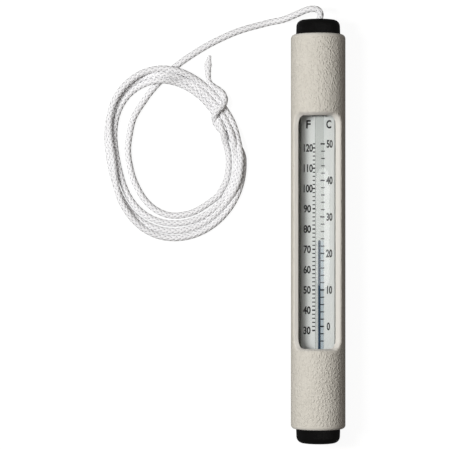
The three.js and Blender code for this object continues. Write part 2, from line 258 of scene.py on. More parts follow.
def evenly_spaced(points, spacing):
    """Points at that spacing on a smooth curve through the given ones."""
    ends = [2 * points[0] - points[1], *points, 2 * points[-1] - points[-2]]
    fine = []
    for a, b, c, d in zip(ends, ends[1:], ends[2:], ends[3:]):
        pieces = max(2, round((c - b).length / spacing) * 2)
        for i in range(pieces):
            t = i / pieces
            fine.append(0.5 * (2 * b + (c - a) * t + (2 * a - 5 * b + 4 * c - d) * t * t
                               + (3 * b - a - 3 * c + d) * t ** 3))
    fine.append(points[-1])
    even, walked = [fine[0]], 0.0
    for a, b in zip(fine, fine[1:]):
        step = (b - a).length
        while walked + step >= spacing:
            a = a.lerp(b, (spacing - walked) / step)
            step = (b - a).length
            even.append(a)
            walked = 0.0
        walked += step
    return even


def braided_tube(name, line, radius, material, tip=()):
    """A tube along line whose surface rises and falls with the stitches of a braid."""
    curve = bpy.data.curves.new(name, "CURVE")
    curve.dimensions = "3D"
    curve.bevel_depth = radius
    curve.bevel_resolution = (RING_POINTS - 4) // 2
    spline = curve.splines.new("POLY")
    spline.points.add(len(line) - 1)
    for point, place in zip(spline.points, line):
        point.co = (*place, 1)
    holder = bpy.data.objects.new(name + "_line", curve)
    bpy.context.scene.collection.objects.link(holder)
    bpy.context.view_layer.update()
    mesh = bpy.data.meshes.new_from_object(holder)
    bpy.data.objects.remove(holder)

    ring_spacing = (line[1] - line[0]).length
    for i, vertex in enumerate(mesh.vertices):
        ring, corner = divmod(i, RING_POINTS)
        column = corner / RING_POINTS * YARN_COLUMNS
        stitches = ring * ring_spacing / STITCH + STITCH_TILT * sin(pi * column)
        relief = cos(pi * column) * cos(2 * pi * stitches) - STITCH_SINK
        width = thickness = melted = 1
        if tip:
            from_end = (len(line) - 1 - ring) * ring_spacing / MM
            width, thickness = between(tip, from_end)
            melted = min(1, from_end / tip[2][0])
        outward = (vertex.co - line[ring]) * (1 + melted * relief * STITCH_RELIEF / radius)
        outward.x *= width
        outward.y *= width
        outward.z *= thickness
        vertex.co = line[ring] + outward

    unrolled = mesh.uv_layers.new(name="braid")
    for face in mesh.polygons:
        corners = [mesh.loops[i].vertex_index for i in face.loop_indices]
        seam = max(c % RING_POINTS for c in corners) == RING_POINTS - 1
        for loop, corner in zip(face.loop_indices, corners):
            ring, place = divmod(corner, RING_POINTS)
            place += RING_POINTS if seam and place == 0 else 0
            unrolled.data[loop].uv = (place / RING_POINTS * YARN_COLUMNS, ring * ring_spacing / STITCH)
    tube = bmesh.new()
    tube.from_mesh(mesh)
    bmesh.ops.holes_fill(tube, edges=[e for e in tube.edges if e.is_boundary])
    bmesh.ops.recalc_face_normals(tube, faces=tube.faces)
    tube.to_mesh(mesh)
    tube.free()
    mesh.polygons.foreach_set("use_smooth", [True] * len(mesh.polygons))
    mesh.materials.clear()
    mesh.materials.append(material)
    piece = bpy.data.objects.new(name, mesh)
    bpy.context.scene.collection.objects.link(piece)
    return piece


def new_group(name, inputs, outputs):
    """An empty shader node group with those number inputs and outputs, and its two end nodes."""
    group = bpy.data.node_groups.new(name, "ShaderNodeTree")
    for socket, kind in inputs:
        group.interface.new_socket(socket, in_out="INPUT", socket_type="NodeSocket" + kind)
    for socket, kind in outputs:
        group.interface.new_socket(socket, in_out="OUTPUT", socket_type="NodeSocket" + kind)
    return group, group.nodes.new("NodeGroupInput"), group.nodes.new("NodeGroupOutput")


def maths(tree, operation, a, b=0.0):
    """The output of a Math node on two numbers or sockets."""
    node = tree.nodes.new("ShaderNodeMath")
    node.operation = operation
    for socket, value in zip(node.inputs, (a, b)):
        if isinstance(value, bpy.types.NodeSocket):
            tree.links.new(value, socket)
        else:
            socket.default_value = value
    return node.outputs["Value"]


def use_group(tree, group, **inputs):
    """A group node with those inputs set."""
    return put(tree, "Group", node_tree=group, **inputs)


# The braid drawn on a cord's own map: the stitches, shade painted into the hollows where yarns cross,
# and the fine filaments of each yarn.
braid, given, put_out = new_group(
    "braid", [("Map", "Vector")], [("Painted_shade", "Float"), ("Height", "Float")])
across = put(braid, "SeparateXYZ", Vector=given.outputs["Map"])
turn = maths(braid, "MULTIPLY", across.outputs["X"], pi)
lean = maths(braid, "MULTIPLY", maths(braid, "SINE", turn), STITCH_TILT)
along = maths(braid, "ADD", across.outputs["Y"], lean)
stitch = maths(braid, "MULTIPLY", maths(braid, "COSINE", turn),
               maths(braid, "COSINE", maths(braid, "MULTIPLY", along, 2 * pi)))
yarn_place = put(braid, "CombineXYZ", X=across.outputs["X"], Y=maths(braid, "MULTIPLY", along, 0.22))
filaments = put(braid, "TexNoise", Vector=yarn_place.outputs["Vector"], Scale=9.0, Detail=2.0)
# Painted shade: how deep in a hollow between stitches a point lies.
painted_shade = put(braid, "MapRange", interpolation_type="SMOOTHSTEP", Value=stitch, From_Min=-0.3,
             From_Max=-0.95)
height = maths(braid, "ADD", maths(braid, "MULTIPLY", stitch, 0.6),
               maths(braid, "MULTIPLY", filaments.outputs["Fac"], 0.5))
braid.links.new(painted_shade.outputs["Result"], put_out.inputs["Painted_shade"])
braid.links.new(height, put_out.inputs["Height"])

# The yarn is white throughout; the grey in the hollows between stitches is painted shade.
CORD_WHITE, CORD_PAINTED_SHADE = (0.88, 0.88, 0.89), (0.47, 0.47, 0.49)
cord_white, tree, surface = new_material("cord_white")
pattern = use_group(tree, braid, Map=put(tree, "UVMap", uv_map="braid").outputs["UV"])
shade = put(tree, "ValToRGB", Fac=pattern.outputs["Painted_shade"])
shade.color_ramp.elements[0].color = (*CORD_WHITE, 1)
shade.color_ramp.elements[1].color = (*CORD_PAINTED_SHADE, 1)
bump = put(tree, "Bump", Height=pattern.outputs["Height"], Distance=0.1 * MM, Strength=0.7)
yarn = put(tree, "BsdfPrincipled", Base_Color=shade.outputs["Color"], Roughness=0.62,
           Sheen_Weight=0.15, Normal=bump.outputs["Normal"])
tree.links.new(yarn.outputs["BSDF"], surface)

route = [Vector(p) * MM for p in LEAD_ROUTE + wound_turns() + HITCH_ROUTE]
cord_line = evenly_spaced(route, RING_SPACING)
for i, place in enumerate(reversed(cord_line)):
    from_tip = i * RING_SPACING / MM
    if from_tip < TIP_SHAPE[-1][0]:
        place.z *= between(TIP_SHAPE, from_tip)[1]
tether_cord = braided_tube("tether_cord", cord_line, CORD_DIAMETER / 2, cord_white, TIP_SHAPE)
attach(tether_cord, "cord_end_cap")
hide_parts("cord_lead", "cord_coil", "cord_hitch", "cord_tail")

# ---- Stop knot ----
# The cord's inner end is wound on itself and pulled tight under the crown of the top cap, so that
# a tug on the tether doesn't draw it out through the hole.

knot_low, knot_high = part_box("cord_stop_knot")
KNOT_CENTRE = (knot_low + knot_high) / 2
KNOT_CORD_RADIUS = 1.12 * MM  # the cord is squeezed thinner in the knot
KNOT_TURNS, KNOT_TURN_STEP = 2.2, 15  # the step is in degrees
KNOT_RADIUS = (knot_high.x - knot_low.x) / 2 - KNOT_CORD_RADIUS
KNOT_CLIMB = (knot_high.y - knot_low.y) / 2 - KNOT_CORD_RADIUS
KNOT_START, KNOT_SIDESTEP = -1.2 * KNOT_CLIMB, 0.9 * MM  # where the inner end is tucked in

knot_steps = round(KNOT_TURNS * 360 / KNOT_TURN_STEP)
knot_route = [KNOT_CENTRE + Vector((0, KNOT_START, 0)),
              KNOT_CENTRE + Vector((KNOT_SIDESTEP, -KNOT_CLIMB, 0))]
for i in range(knot_steps + 1):
    angle = radians(i * KNOT_TURN_STEP)
    climb = KNOT_CLIMB * (2 * i / knot_steps - 1)
    across = Vector((KNOT_RADIUS * cos(angle), climb, KNOT_RADIUS * sin(angle)))
    knot_route.append(KNOT_CENTRE + across)
knot_route.append(KNOT_CENTRE + Vector((0, KNOT_CLIMB, 0)))
knot_line = evenly_spaced(knot_route, RING_SPACING)
stop_knot = braided_tube("stop_knot", knot_line, KNOT_CORD_RADIUS, cord_white)
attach(stop_knot, "cord_end_cap")
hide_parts("cord_stop_knot")

# ---- Sleeve ----
# A one-inch tube of putty-coloured plastic, moulded with a leather grain. Its ends are rounded and
# smooth. One long window is cut through its wall, with eased edges and sloping sides and ends.

sleeve_low, sleeve_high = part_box("sleeve")
AXIS = Vector((0, 0, (sleeve_low.z + sleeve_high.z) / 2))
SLEEVE_RADIUS = sleeve_high.x
SLEEVE_END = sleeve_high.y
SLEEVE_WALL = 2.25 * MM
TOP_ROUND, BOTTOM_ROUND = 2.1 * MM, 1.6 * MM
WINDOW_HALF_LENGTH, WINDOW_MIDDLE = 54.93 * MM, -0.10 * MM
WINDOW_HALF_WIDTH = radians(60) * SLEEVE_RADIUS
WINDOW_TURN = radians(-6)  # the window looks a little to the left
WINDOW_CORNER = 5.0 * MM
# How far the window's sides and ends lean outward from the bore, for each unit of depth.
WINDOW_TOP_SLOPE, WINDOW_BOTTOM_SLOPE = 0.5, 0.35
WINDOW_RIGHT_SLOPE, WINDOW_LEFT_SLOPE = 0.55, 0.15
WINDOW_EASE = 0.75 * MM
WINDOW_MARGIN = 1.0 * MM   # takes in the eased edge round the window
WINDOW_TO_END = 20 * MM    # the window stays further than this from both ends
SLIVER = 0.5 * MM          # no strip as narrow as this is cut off beside the window
TINY, TINIER = 1e-6, 1e-7  # distances that count as none, in metres
SQUARE = 1.0               # edges that turn more than this, in radians, are square
SLEEVE_COLUMNS, SLEEVE_ROWS = 96, 31
PLASTIC_PALE, PLASTIC_DARK = (0.68, 0.65, 0.585), (0.62, 0.59, 0.52)
PLASTIC_CUT = (0.77, 0.745, 0.69)  # the bore and the window's edges are paler than the skin
GRAIN_DEPTH = 0.21 * MM
WANDER = 0.9 * MM  # how far the grain strays from even cells
SMOOTH_BAND, BAND_FADE = 2.2 * MM, 0.5 * MM
SKIN_FROM, SKIN_TO = 0.65 * MM, 0.02 * MM  # the skin's grain and colour fade in over these depths


def cut_by(mesh, place, normal):
    """Splits every face that the plane crosses."""
    everything = mesh.verts[:] + mesh.edges[:] + mesh.faces[:]
    bmesh.ops.bisect_plane(mesh, geom=everything, dist=TINIER, plane_co=place, plane_no=normal)


def move_raised(mesh, raised, step):
    """Moves the points that an extrusion has made."""
    points = [v for v in raised["geom"] if isinstance(v, bmesh.types.BMVert)]
    bmesh.ops.translate(mesh, verts=points, vec=step)


def add_rectangle(mesh, x, y, corner=0):
    """The edges of a rectangle of half width x and half length y, with rounded corners."""
    corners = [mesh.verts.new((a * x, b * y, 0)) for a, b in ((-1, -1), (1, -1), (1, 1), (-1, 1))]
    for a, b in zip(corners, corners[1:] + corners[:1]):
        mesh.edges.new((a, b))
    if corner:
        bmesh.ops.bevel(mesh, geom=corners, offset=corner, affect="VERTICES", segments=10,
                        profile=0.5, material=-1)


# The wall is made flat, as if slit along the back, and then rolled up about the sleeve's axis.
# x runs round the sleeve, y along it, and z is the depth below its outer face.
seam = pi * SLEEVE_RADIUS
wall = bmesh.new()
add_rectangle(wall, WINDOW_HALF_WIDTH, WINDOW_HALF_LENGTH, WINDOW_CORNER)
bmesh.ops.translate(wall, verts=wall.verts, vec=(0, WINDOW_MIDDLE, 0))
add_rectangle(wall, seam, SLEEVE_END)
bmesh.ops.triangle_fill(wall, use_beauty=True, edges=wall.edges[:], normal=(0, 0, 1))
for i in range(1, SLEEVE_COLUMNS):
    x = seam * (2 * i / SLEEVE_COLUMNS - 1)
    if abs(abs(x) - WINDOW_HALF_WIDTH) > SLIVER:
        cut_by(wall, (x, 0, 0), (1, 0, 0))
for i in range(1, SLEEVE_ROWS):
    cut_by(wall, (0, SLEEVE_END * (2 * i / SLEEVE_ROWS - 1), 0), (0, 1, 0))
spans = {e: e.verts[1].co - e.verts[0].co for e in wall.edges if not e.is_boundary}
slanted = [e for e, span in spans.items() if abs(span.x) > TINY and abs(span.y) > TINY]
bmesh.ops.dissolve_edges(wall, edges=slanted, use_verts=False)
idle = [v for v in wall.verts if len(v.link_edges) == 2 and not v.is_boundary]
bmesh.ops.dissolve_verts(wall, verts=idle)
bmesh.ops.recalc_face_normals(wall, faces=wall.faces)
if wall.faces[:][0].normal.z < 0:
    bmesh.ops.reverse_faces(wall, faces=wall.faces)
raised = bmesh.ops.extrude_face_region(wall, geom=wall.faces[:], use_keep_orig=True)
move_raised(wall, raised, (0, 0, -SLEEVE_WALL))
slit = [f for f in wall.faces if all(abs(v.co.x) > seam - TINY for v in f.verts)]
bmesh.ops.delete(wall, geom=slit, context="FACES_ONLY")
bmesh.ops.recalc_face_normals(wall, faces=wall.faces)


def outer_edges(mesh, inside):
    """The sharp edges of the flat wall's outer face whose middles pass the test."""
    return [e for e in mesh.edges
            if len(e.link_faces) == 2 and all(v.co.z > -TINIER for v in e.verts)
            and e.calc_face_angle() > SQUARE and inside((e.verts[0].co + e.verts[1].co) / 2)]


for reach, test in (
    (TOP_ROUND, lambda middle: middle.y > SLEEVE_END - TINY),
    (BOTTOM_ROUND, lambda middle: middle.y < TINY - SLEEVE_END),
    (WINDOW_EASE, lambda middle: abs(middle.y) < SLEEVE_END - WINDOW_TO_END),
):
    bmesh.ops.bevel(wall, geom=outer_edges(wall, test), offset=reach, affect="EDGES", segments=5,
                    profile=0.5, material=-1)

for vertex in wall.verts:
    x, y, depth = vertex.co
    beside = abs(x) - WINDOW_HALF_WIDTH < WINDOW_MARGIN
    if beside and abs(y) - WINDOW_HALF_LENGTH < WINDOW_MARGIN:
        slope = WINDOW_TOP_SLOPE if y > 0 else WINDOW_BOTTOM_SLOPE
        y *= 1 + slope * depth / WINDOW_HALF_LENGTH
        slope = WINDOW_RIGHT_SLOPE if x > 0 else WINDOW_LEFT_SLOPE
        x *= 1 + slope * depth / WINDOW_HALF_WIDTH
    angle, away = x / SLEEVE_RADIUS + WINDOW_TURN, SLEEVE_RADIUS + depth
    vertex.co = AXIS + Vector((away * sin(angle), y, away * cos(angle)))
bmesh.ops.remove_doubles(wall, verts=wall.verts, dist=TINY)
bmesh.ops.recalc_face_normals(wall, faces=wall.faces)

# Uneven colour and gloss, as on any moulded or printed surface.
mottle, given, put_out = new_group(
    "mottle", [("Scale", "Float"), ("Dark", "Color"), ("Pale", "Color"), ("Gloss", "Float")],
    [("Color", "Color"), ("Roughness", "Float")])
place = put(mottle, "TexCoord")
clouds = put(mottle, "TexNoise", Vector=place.outputs["Object"], Scale=given.outputs["Scale"],
             Detail=4.0, Roughness=0.6)
tone = put(mottle, "Mix", data_type="RGBA")
mottle.links.new(clouds.outputs["Fac"], tone.inputs["Factor"])
mottle.links.new(given.outputs["Dark"], tone.inputs[6])
mottle.links.new(given.outputs["Pale"], tone.inputs[7])
spread = maths(mottle, "MULTIPLY", maths(mottle, "SUBTRACT", clouds.outputs["Fac"], 0.5), 0.25)
mottle.links.new(tone.outputs[2], put_out.inputs["Color"])
mottle.links.new(maths(mottle, "ADD", given.outputs["Gloss"], spread), put_out.inputs["Roughness"])



def mottled(name, scale, dark, pale, gloss, pores=None, **settings):
    """A material whose colour and gloss are mottled. The pores are how fine, how deep and how
    strong its bumps are."""
    material, tree, surface = new_material(name)
    base = use_group(tree, mottle, Scale=scale, Dark=dark, Pale=pale, Gloss=gloss)
    if pores:
        fine, deep, strong = pores
        place = put(tree, "TexCoord")
        noise = put(tree, "TexNoise", Vector=place.outputs["Object"], Scale=fine, Detail=2.0)
        bump = put(tree, "Bump", Height=noise.outputs["Fac"], Distance=deep, Strength=strong)
        settings["Normal"] = bump.outputs["Normal"]
    skin = put(tree, "BsdfPrincipled", Base_Color=base.outputs["Color"],
               Roughness=base.outputs["Roughness"], **settings)
    tree.links.new(skin.outputs["BSDF"], surface)
    return material


sleeve_plastic, tree, surface = new_material("sleeve_plastic")
base = use_group(tree, mottle, Scale=120.0, Dark=PLASTIC_DARK, Pale=PLASTIC_PALE, Gloss=0.52)
place = put(tree, "TexCoord")
drawn_out = put(tree, "Mapping", Vector=place.outputs["Object"])
drawn_out.inputs["Scale"].default_value = (1.0, 0.66, 1.0)
wander = put(tree, "TexNoise", Vector=drawn_out.outputs["Vector"], Scale=900.0, Detail=1.0)
shifted = put(tree, "VectorMath", operation="SCALE", Scale=WANDER)
tree.links.new(wander.outputs["Color"], shifted.inputs[0])
bent = put(tree, "VectorMath", operation="ADD")
tree.links.new(drawn_out.outputs["Vector"], bent.inputs[0])
tree.links.new(shifted.outputs["Vector"], bent.inputs[1])
leather = put(tree, "TexVoronoi", feature="SMOOTH_F1", Vector=bent.outputs["Vector"], Scale=1120.0,
              Smoothness=0.35)
ridges = put(tree, "MapRange", interpolation_type="SMOOTHSTEP", Value=leather.outputs["Distance"],
             From_Min=0.65, From_Max=0.1)
spot = put(tree, "SeparateXYZ", Vector=place.outputs["Object"])
from_axis = put(tree, "CombineXYZ", X=spot.outputs["X"],
                Y=maths(tree, "SUBTRACT", spot.outputs["Z"], AXIS.z))
reach = put(tree, "VectorMath", operation="LENGTH")
tree.links.new(from_axis.outputs["Vector"], reach.inputs[0])
outside = put(tree, "MapRange", interpolation_type="SMOOTHSTEP", Value=reach.outputs["Value"],
              From_Min=SLEEVE_RADIUS - SKIN_FROM, From_Max=SLEEVE_RADIUS - SKIN_TO)
along = maths(tree, "ABSOLUTE", spot.outputs["Y"])
band = put(tree, "MapRange", interpolation_type="SMOOTHSTEP", Value=along,
           From_Min=SLEEVE_END - SMOOTH_BAND + BAND_FADE, From_Max=SLEEVE_END - SMOOTH_BAND)
grained = maths(tree, "MULTIPLY", band.outputs["Result"], outside.outputs["Result"])
relief = maths(tree, "MULTIPLY", ridges.outputs["Result"], grained)
bump = put(tree, "Bump", Height=relief, Distance=GRAIN_DEPTH, Strength=1.0)
skinned = put(tree, "Mix", data_type="RGBA", Factor=outside.outputs["Result"])
skinned.inputs[6].default_value = (*PLASTIC_CUT, 1)
tree.links.new(base.outputs["Color"], skinned.inputs[7])
shell = put(tree, "BsdfPrincipled", Base_Color=skinned.outputs[2],
            Roughness=base.outputs["Roughness"], Normal=bump.outputs["Normal"])
tree.links.new(shell.outputs["BSDF"], surface)

sleeve = finish_piece("sleeve_shell", wall, sleeve_plastic)
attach(sleeve, "housing")
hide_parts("sleeve")

# ---- End caps ----
# Cup-shaped plugs of moulded black rubber, pushed into the ends of the sleeve and held there by
# their grip. Their crowns are well rounded, and the top one has a hole for the cord.

CAP_RADIUS, CAP_FACE_RADIUS = 10.3 * MM, 10.05 * MM
CAP_SHOULDER, CAP_WALL, CAP_CROWN = 2.9 * MM, 2.4 * MM, 3.2 * MM
CAP_REACH, CAP_CHAMFER = 14 * MM, 0.8 * MM
CAVITY_ROUND, MOUTH_ROUND = 0.6 * MM, 0.3 * MM
MOULD_LINE, MOULD_STEP = (0.25 * MM, 0.3 * MM), 0.02 * MM  # just clear of the sleeve
HOLE_ROUND_INSIDE, HOLE_ROUND_OUTSIDE = 0.25 * MM, 0.35 * MM
STAND_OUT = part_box("top_cap")[1].y - SLEEVE_END
CORD_HOLE = 2.15 * MM
TURNED_SIDES = 96
RUBBER_DARK, RUBBER_PALE = (0.002, 0.002, 0.002), (0.006, 0.006, 0.006)


def turned(outline, start, facing=1, sides=TURNED_SIDES, closed=True):
    """A body of revolution about the sleeve's axis. The outline is (radius, distance, rounding)
    points, the distance counted from start towards +Y where facing is 1 and -Y where it is -1."""
    mesh = bmesh.new()
    points = [mesh.verts.new(AXIS + Vector((r, start + facing * d, 0))) for r, d, _ in outline]
    ends = points[1:] + points[:1] if closed else points[1:]
    for a, b in zip(points, ends):
        mesh.edges.new((a, b))
    for point, (_, _, rounding) in zip(points, outline):
        if rounding:
            bmesh.ops.bevel(mesh, geom=[point], offset=rounding, affect="VERTICES", segments=5,
                            profile=0.5, material=-1)
    bmesh.ops.spin(mesh, geom=mesh.verts[:] + mesh.edges[:], cent=AXIS, axis=(0, 1, 0),
                   angle=2 * pi, steps=sides, use_merge=True)
    bmesh.ops.remove_doubles(mesh, verts=mesh.verts, dist=TINY)
    bmesh.ops.recalc_face_normals(mesh, faces=mesh.faces)
    return mesh


def cap_outline(hole):
    """The section of a cap. Distance 0 is the sleeve's end face."""
    under = STAND_OUT - CAP_CROWN
    cavity = CAP_RADIUS - CAP_WALL
    section = [
        (cavity, under, CAVITY_ROUND), (cavity, -CAP_REACH, MOUTH_ROUND),
        (CAP_RADIUS - CAP_CHAMFER, -CAP_REACH, MOUTH_ROUND),
        (CAP_RADIUS, -CAP_REACH + 2 * CAP_CHAMFER, MOUTH_ROUND),
        (CAP_RADIUS, MOULD_LINE[0], 0), (CAP_RADIUS - MOULD_STEP, MOULD_LINE[1], 0),
        (CAP_FACE_RADIUS, STAND_OUT, CAP_SHOULDER),
    ]
    if hole:
        return [(hole, under, HOLE_ROUND_INSIDE), *section, (hole, STAND_OUT, HOLE_ROUND_OUTSIDE)]
    return [(0, under, 0), *section, (0, STAND_OUT, 0)]


cap_rubber = mottled("cap_rubber", 260.0, RUBBER_DARK, RUBBER_PALE, 0.48,
                     pores=(2600.0, 0.03 * MM, 0.6), Specular_IOR_Level=0.2)

for name, node, body, start, facing, hole in (
    ("top_cap_rubber", "top_cap", "cord_end_cap", SLEEVE_END, 1, CORD_HOLE),
    ("bottom_cap_rubber", "bottom_cap", "weighted_cap", -SLEEVE_END, -1, 0),
):
    plug = finish_piece(name, turned(cap_outline(hole), start, facing, closed=bool(hole)), cap_rubber)
    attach(plug, body)
    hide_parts(node)

# ---- Ballast slug ----
# A short zinc-plated steel slug, pressed into the bottom cap to weight the lower end. Its edges are
# tumbled round, and each end has a shallow dish.

slug_low, slug_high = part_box("ballast_slug")
ballast_metal = mottled("ballast_metal", 700.0, (0.20, 0.21, 0.22), (0.36, 0.37, 0.37), 0.42,
                        Metallic=1.0)

SLUG_ROUND, SLUG_DISH = 0.5 * MM, 0.35 * MM
DISH_FLOOR, DISH_RIM = slug_high.x * 0.55, slug_high.x * 0.65
section = [(0, slug_low.y + SLUG_DISH, 0), (DISH_FLOOR, slug_low.y + SLUG_DISH, 0),
           (DISH_RIM, slug_low.y, 0), (slug_high.x, slug_low.y, SLUG_ROUND),
           (slug_high.x, slug_high.y, SLUG_ROUND), (DISH_RIM, slug_high.y, 0),
           (DISH_FLOOR, slug_high.y - SLUG_DISH, 0), (0, slug_high.y - SLUG_DISH, 0)]
slug = finish_piece("steel_slug", turned(section, 0, sides=64, closed=False), ballast_metal)
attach(slug, "weighted_cap")
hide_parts("ballast_slug")

# ---- Glass envelope ----
# An 18 mm tube of clear glass, drawn like a test tube and fire-polished: domed at the bottom and
# open at the top. It keeps the water off the card and the stem.

glass_low, glass_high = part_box("glass_envelope")
GLASS_WALL, GLASS_RIM = 0.75 * MM, 0.35 * MM
DOME_STEPS = 14


def clear_glass_material(name, colour, ior):
    """Clear glass that lets the lamps' light through to what it covers."""
    material, tree, surface = new_material(name)
    glass = put(tree, "BsdfPrincipled", Base_Color=colour, Roughness=0.0, IOR=ior,
                Transmission_Weight=1.0)
    see_through = put(tree, "BsdfTransparent", Color=(0.97, 0.98, 0.98))
    either = put(tree, "MixShader", Fac=put(tree, "LightPath").outputs["Is Shadow Ray"])
    tree.links.new(glass.outputs["BSDF"], either.inputs[1])
    tree.links.new(see_through.outputs["BSDF"], either.inputs[2])
    tree.links.new(either.outputs["Shader"], surface)
    return material


def dome(radius, centre, tip_first=True):
    """Outline points of a hemisphere that bulges to -Y round centre."""
    steps = range(DOME_STEPS + 1)
    arc = [(radius * sin(pi / 2 * i / DOME_STEPS), centre - radius * cos(pi / 2 * i / DOME_STEPS), 0)
           for i in steps]
    return arc if tip_first else arc[::-1]


envelope_glass = clear_glass_material("envelope_glass", (0.985, 1.0, 0.995), 1.47)
glass_radius = glass_high.x
dome_centre = glass_low.y + glass_radius
section = [*dome(glass_radius, dome_centre), (glass_radius, glass_high.y, GLASS_RIM),
           (glass_radius - GLASS_WALL, glass_high.y, GLASS_RIM),
           *dome(glass_radius - GLASS_WALL, dome_centre, tip_first=False)]
envelope = finish_piece("glass_tube", turned(section, 0, sides=128, closed=False), envelope_glass)
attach(envelope, "housing")
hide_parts("glass_envelope")

# ---- Envelope stopper ----
# A cream plastic plug with a flange, pushed into the open end of the glass. Two ribs round it grip
# the glass.

stopper_low, stopper_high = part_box("envelope_stopper")
PLUG_RADIUS = 7.9 * MM
FLANGE = 1.5 * MM
PLUG_TIP, PLUG_LEAD_IN, PLUG_ROUND = 0.5 * MM, 1.0 * MM, 0.2 * MM
RIB_FEET = (1.6 * MM, 3.6 * MM)  # from the inner end
RIB_RISE, RIB_WIDTH, RIB_ROUND = 0.15 * MM, 0.6 * MM, 0.05 * MM
FLANGE_ROUND = 0.4 * MM

stopper_plastic = mottled("stopper_plastic", 300.0, (0.70, 0.67, 0.58), (0.80, 0.77, 0.68), 0.45)

seat = stopper_high.y - FLANGE
shank = PLUG_RADIUS - RIB_RISE
section = [(0, stopper_low.y, 0), (PLUG_RADIUS - PLUG_TIP, stopper_low.y, PLUG_ROUND),
           (shank, stopper_low.y + PLUG_LEAD_IN, PLUG_ROUND)]
for rib_foot in RIB_FEET:
    foot = stopper_low.y + rib_foot
    section += [(shank, foot, 0), (PLUG_RADIUS, foot + RIB_WIDTH / 3, RIB_ROUND),
                (PLUG_RADIUS, foot + 2 * RIB_WIDTH / 3, RIB_ROUND), (shank, foot + RIB_WIDTH, 0)]
section += [(shank, seat, 0), (stopper_high.x, seat, PLUG_ROUND),
            (stopper_high.x, stopper_high.y, FLANGE_ROUND), (0, stopper_high.y, 0)]
stopper = finish_piece("glass_stopper", turned(section, 0, sides=80, closed=False), stopper_plastic)
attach(stopper, "housing")
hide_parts("envelope_stopper")

# ---- Scale card ----
# A strip of white plastic sheet, printed before it is slid into the glass behind the stem. It is
# die-cut from calendered sheet, nearly as wide as the glass inside, with rounded corners.

card_low, card_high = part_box("scale_card")
CARD_HALF_WIDTH, CARD_CORNER, CARD_EDGE = 7.95 * MM, 1.2 * MM, 0.06 * MM

scale_card = mottled("scale_card", 240.0, (0.84, 0.84, 0.82), (0.90, 0.90, 0.88), 0.5,
                     pores=(4200.0, 0.01 * MM, 0.4))
plate = bmesh.new()
add_rectangle(plate, CARD_HALF_WIDTH, (card_high.y - card_low.y) / 2, CARD_CORNER)
bmesh.ops.triangle_fill(plate, use_beauty=True, edges=plate.edges[:])
inner_edges = [e for e in plate.edges if not e.is_boundary]
bmesh.ops.dissolve_edges(plate, edges=inner_edges, use_verts=False)
raised = bmesh.ops.extrude_face_region(plate, geom=plate.faces[:], use_keep_orig=True)
move_raised(plate, raised, (0, 0, card_high.z - card_low.z))
bmesh.ops.recalc_face_normals(plate, faces=plate.faces)
rims = [e for e in plate.edges if len(e.link_faces) == 2 and e.calc_face_angle() > SQUARE]
bmesh.ops.bevel(plate, geom=rims, offset=CARD_EDGE, affect="EDGES", segments=2, profile=0.5,
                material=-1)
bmesh.ops.translate(plate, verts=plate.verts,
                    vec=(0, (card_low.y + card_high.y) / 2, card_low.z))
card = finish_piece("card", plate, scale_card)
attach(card, "housing")
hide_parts("scale_card")

# ---- Scale print ----
# Black ink, screen-printed on the card: Fahrenheit to the left of the stem with a line for every
# two degrees, and Celsius to the right. Every tenth degree is bolder and has its figures.

INK_LIFT, INK_THICKNESS = 0.02 * MM, 0.02 * MM
LOWEST_F, HIGHEST_F, LOWEST_C, HIGHEST_C = 30, 122, -4, 50
LINE_EVERY, BOLD_EVERY = 2, 10
LOWEST_F_Y = -46.2 * MM
DEGREE_F = 0.946 * MM
F_LINE_FROM, F_LINE_TO = -1.15 * MM, -2.6 * MM
C_LINE_FROM, C_LINE_TO = 1.2 * MM, 3.0 * MM
C_BOLD_FROM = 0.9 * MM
LINE_WIDTH, BOLD_WIDTH = 0.50 * MM, 0.70 * MM
FIGURE_HEIGHT, LETTER_HEIGHT = 3.75 * MM, 3.95 * MM
F_FIGURES_LEFT, F_HUNDREDS_LEFT, C_FIGURES_LEFT = -6.85 * MM, -7.45 * MM, 3.8 * MM
ZERO_SHIFT = 0.5 * MM  # a lone 0 stands a little further right
# How wide the figures and letters are drawn, and how much bolder than the plain typeface.
F_NARROW, F_HUNDREDS_NARROW, C_NARROW = 0.74, 0.68, 0.62
F_LETTER_NARROW, C_LETTER_NARROW = 0.95, 0.68
FIGURE_WEIGHT, F_LETTER_WEIGHT, FIGURE_SPACING = 0.03, 0.035, 0.96
SKEW = 0.0043          # the print leans a little to the right as it goes up
F_LETTER_X, C_LETTER_X, LETTERS_Y = -4.85 * MM, 4.85 * MM, 50.0 * MM

scale_ink = mottled("scale_ink", 1500.0, (0.006, 0.006, 0.007), (0.022, 0.022, 0.024), 0.45)

ink_bottom = card_high.z + INK_LIFT
printing = bmesh.new()


def print_line(x_from, x_to, y, width):
    """A printed line across the card at y."""
    made = bmesh.ops.create_cube(printing, size=1)["verts"]
    bmesh.ops.scale(printing, verts=made, vec=(abs(x_to - x_from), width, INK_THICKNESS))
    bmesh.ops.translate(printing, verts=made,
                        vec=((x_from + x_to) / 2, y, ink_bottom + INK_THICKNESS / 2))


